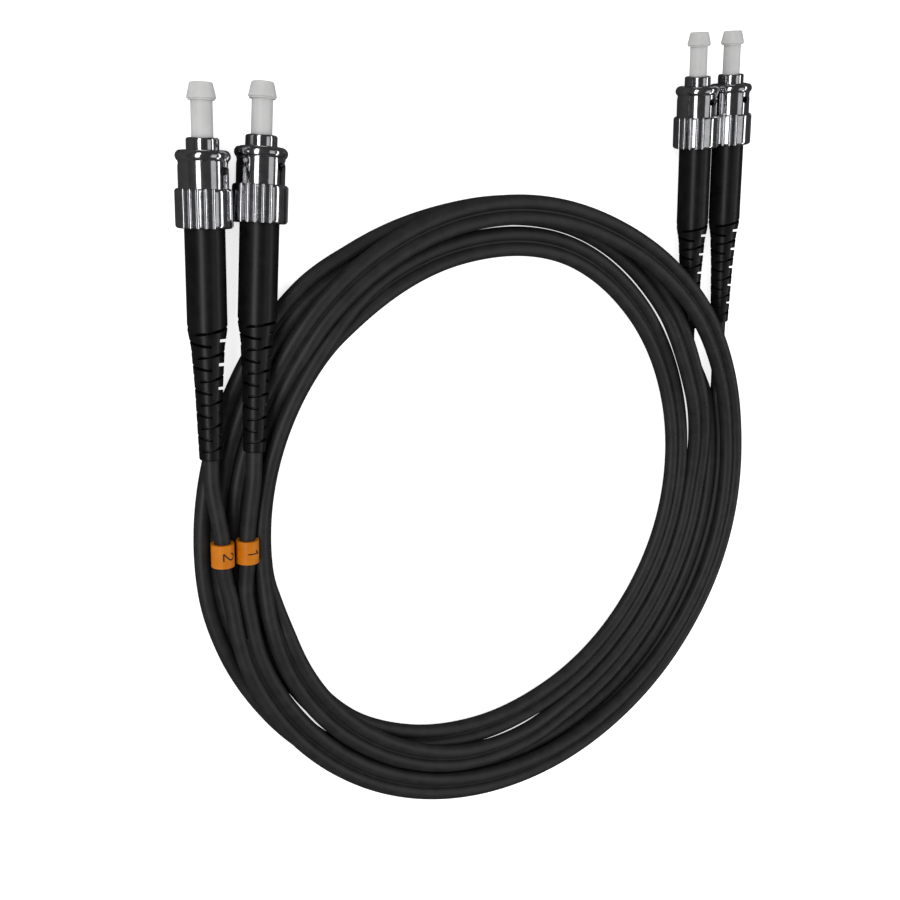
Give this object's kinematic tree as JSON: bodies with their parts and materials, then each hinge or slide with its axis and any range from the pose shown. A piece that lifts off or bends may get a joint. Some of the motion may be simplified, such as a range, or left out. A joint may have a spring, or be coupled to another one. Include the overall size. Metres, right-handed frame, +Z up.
{
  "type": "duplex st fibre patch cord",
  "caption": "Coiled duplex fibre patch cord with capped bayonet connectors, slotted strain relief boots and numbered marker sleeves.",
  "frame": {"origin": "under the middle of the four connectors, on the surface that the cord lies on", "axes": "+Z up, +Y the way the connectors point, about, +X across them"},
  "size_m": [0.1487, 0.1774, 0.0105],
  "materials": {
    "cap_plastic": "satin",
    "ceramic": "polished",
    "nickel_plate": "polished",
    "spring_steel": "satin",
    "crimp_brass": "satin",
    "boot_rubber": "satin",
    "buffer_plastic": "satin",
    "cord_jacket": "satin",
    "marker_sleeve": "satin"
  },
  "bodies": {
    "patch_cord": {"ferrule_a1": "ceramic", "ferrule_holder_a1": "nickel_plate", "spring_a1": "spring_steel", "retaining_clip_a1": "spring_steel", "back_post_a1": "nickel_plate", "crimp_sleeve_a1": "crimp_brass", "boot_a1": "boot_rubber", "fibre_buffer_a1": "buffer_plastic", "cord_leg_a1": "cord_jacket", "ferrule_a2": "ceramic", "ferrule_holder_a2": "nickel_plate", "spring_a2": "spring_steel", "retaining_clip_a2": "spring_steel", "back_post_a2": "nickel_plate", "crimp_sleeve_a2": "crimp_brass", "boot_a2": "boot_rubber", "fibre_buffer_a2": "buffer_plastic", "cord_leg_a2": "cord_jacket", "ferrule_b1": "ceramic", "ferrule_holder_b1": "nickel_plate", "spring_b1": "spring_steel", "retaining_clip_b1": "spring_steel", "back_post_b1": "nickel_plate", "crimp_sleeve_b1": "crimp_brass", "boot_b1": "boot_rubber", "fibre_buffer_b1": "buffer_plastic", "cord_leg_b1": "cord_jacket", "ferrule_b2": "ceramic", "ferrule_holder_b2": "nickel_plate", "spring_b2": "spring_steel", "retaining_clip_b2": "spring_steel", "back_post_b2": "nickel_plate", "crimp_sleeve_b2": "crimp_brass", "boot_b2": "boot_rubber", "fibre_buffer_b2": "buffer_plastic", "cord_leg_b2": "cord_jacket", "marker_sleeve_1": "marker_sleeve", "marker_sleeve_2": "marker_sleeve", "cord_coil": "cord_jacket"},
    "washer_a1": {"spring_washer_a1": "spring_steel"},
    "nut_a1": {"coupling_nut_a1": "nickel_plate"},
    "cap_a1": {"dust_cap_a1": "cap_plastic"},
    "washer_a2": {"spring_washer_a2": "spring_steel"},
    "nut_a2": {"coupling_nut_a2": "nickel_plate"},
    "cap_a2": {"dust_cap_a2": "cap_plastic"},
    "washer_b1": {"spring_washer_b1": "spring_steel"},
    "nut_b1": {"coupling_nut_b1": "nickel_plate"},
    "cap_b1": {"dust_cap_b1": "cap_plastic"},
    "washer_b2": {"spring_washer_b2": "spring_steel"},
    "nut_b2": {"coupling_nut_b2": "nickel_plate"},
    "cap_b2": {"dust_cap_b2": "cap_plastic"}
  },
  "joints": [
    {"name": "nut_push_a1", "type": "slide", "parent": "patch_cord", "child": "washer_a1", "axis": [-0.0523, 0.998, -0.0352], "range_m": [0, 0.0016], "stiffness_N_per_m": 3000, "springref_m": -0.001, "deforming": ["spring_a1"]},
    {"name": "nut_spin_a1", "type": "hinge", "parent": "washer_a1", "child": "nut_a1", "pos_m": [-0.05363, 0.00111, 0.00493], "axis": [-0.0523, 0.998, -0.0352], "continuous": true},
    {"name": "cap_pull_a1", "type": "slide", "parent": "patch_cord", "child": "cap_a1", "axis": [-0.0523, 0.998, -0.0352], "range_m": [0, 0.009]},
    {"name": "nut_push_a2", "type": "slide", "parent": "patch_cord", "child": "washer_a2", "axis": [-0.108, 0.9941, -0.0035], "range_m": [0, 0.0016], "stiffness_N_per_m": 3000, "springref_m": -0.001, "deforming": ["spring_a2"]},
    {"name": "nut_spin_a2", "type": "hinge", "parent": "washer_a2", "child": "nut_a2", "pos_m": [-0.0639, -0.00088, 0.00493], "axis": [-0.108, 0.9941, -0.0035], "continuous": true},
    {"name": "cap_pull_a2", "type": "slide", "parent": "patch_cord", "child": "cap_a2", "axis": [-0.108, 0.9941, -0.0035], "range_m": [0, 0.009]},
    {"name": "nut_push_b1", "type": "slide", "parent": "patch_cord", "child": "washer_b1", "axis": [-0.2244, 0.972, 0.0703], "range_m": [0, 0.0016], "stiffness_N_per_m": 3000, "springref_m": -0.001, "deforming": ["spring_b1"]},
    {"name": "nut_spin_b1", "type": "hinge", "parent": "washer_b1", "child": "nut_b1", "pos_m": [0.05659, 0.03077, 0.00539], "axis": [-0.2244, 0.972, 0.0703], "continuous": true},
    {"name": "cap_pull_b1", "type": "slide", "parent": "patch_cord", "child": "cap_b1", "axis": [-0.2244, 0.972, 0.0703], "range_m": [0, 0.009]},
    {"name": "nut_push_b2", "type": "slide", "parent": "patch_cord", "child": "washer_b2", "axis": [-0.2244, 0.972, 0.0703], "range_m": [0, 0.0016], "stiffness_N_per_m": 3000, "springref_m": -0.001, "deforming": ["spring_b2"]},
    {"name": "nut_spin_b2", "type": "hinge", "parent": "washer_b2", "child": "nut_b2", "pos_m": [0.04684, 0.02857, 0.00539], "axis": [-0.2244, 0.972, 0.0703], "continuous": true},
    {"name": "cap_pull_b2", "type": "slide", "parent": "patch_cord", "child": "cap_b2", "axis": [-0.2244, 0.972, 0.0703], "range_m": [0, 0.009]}
  ]
}
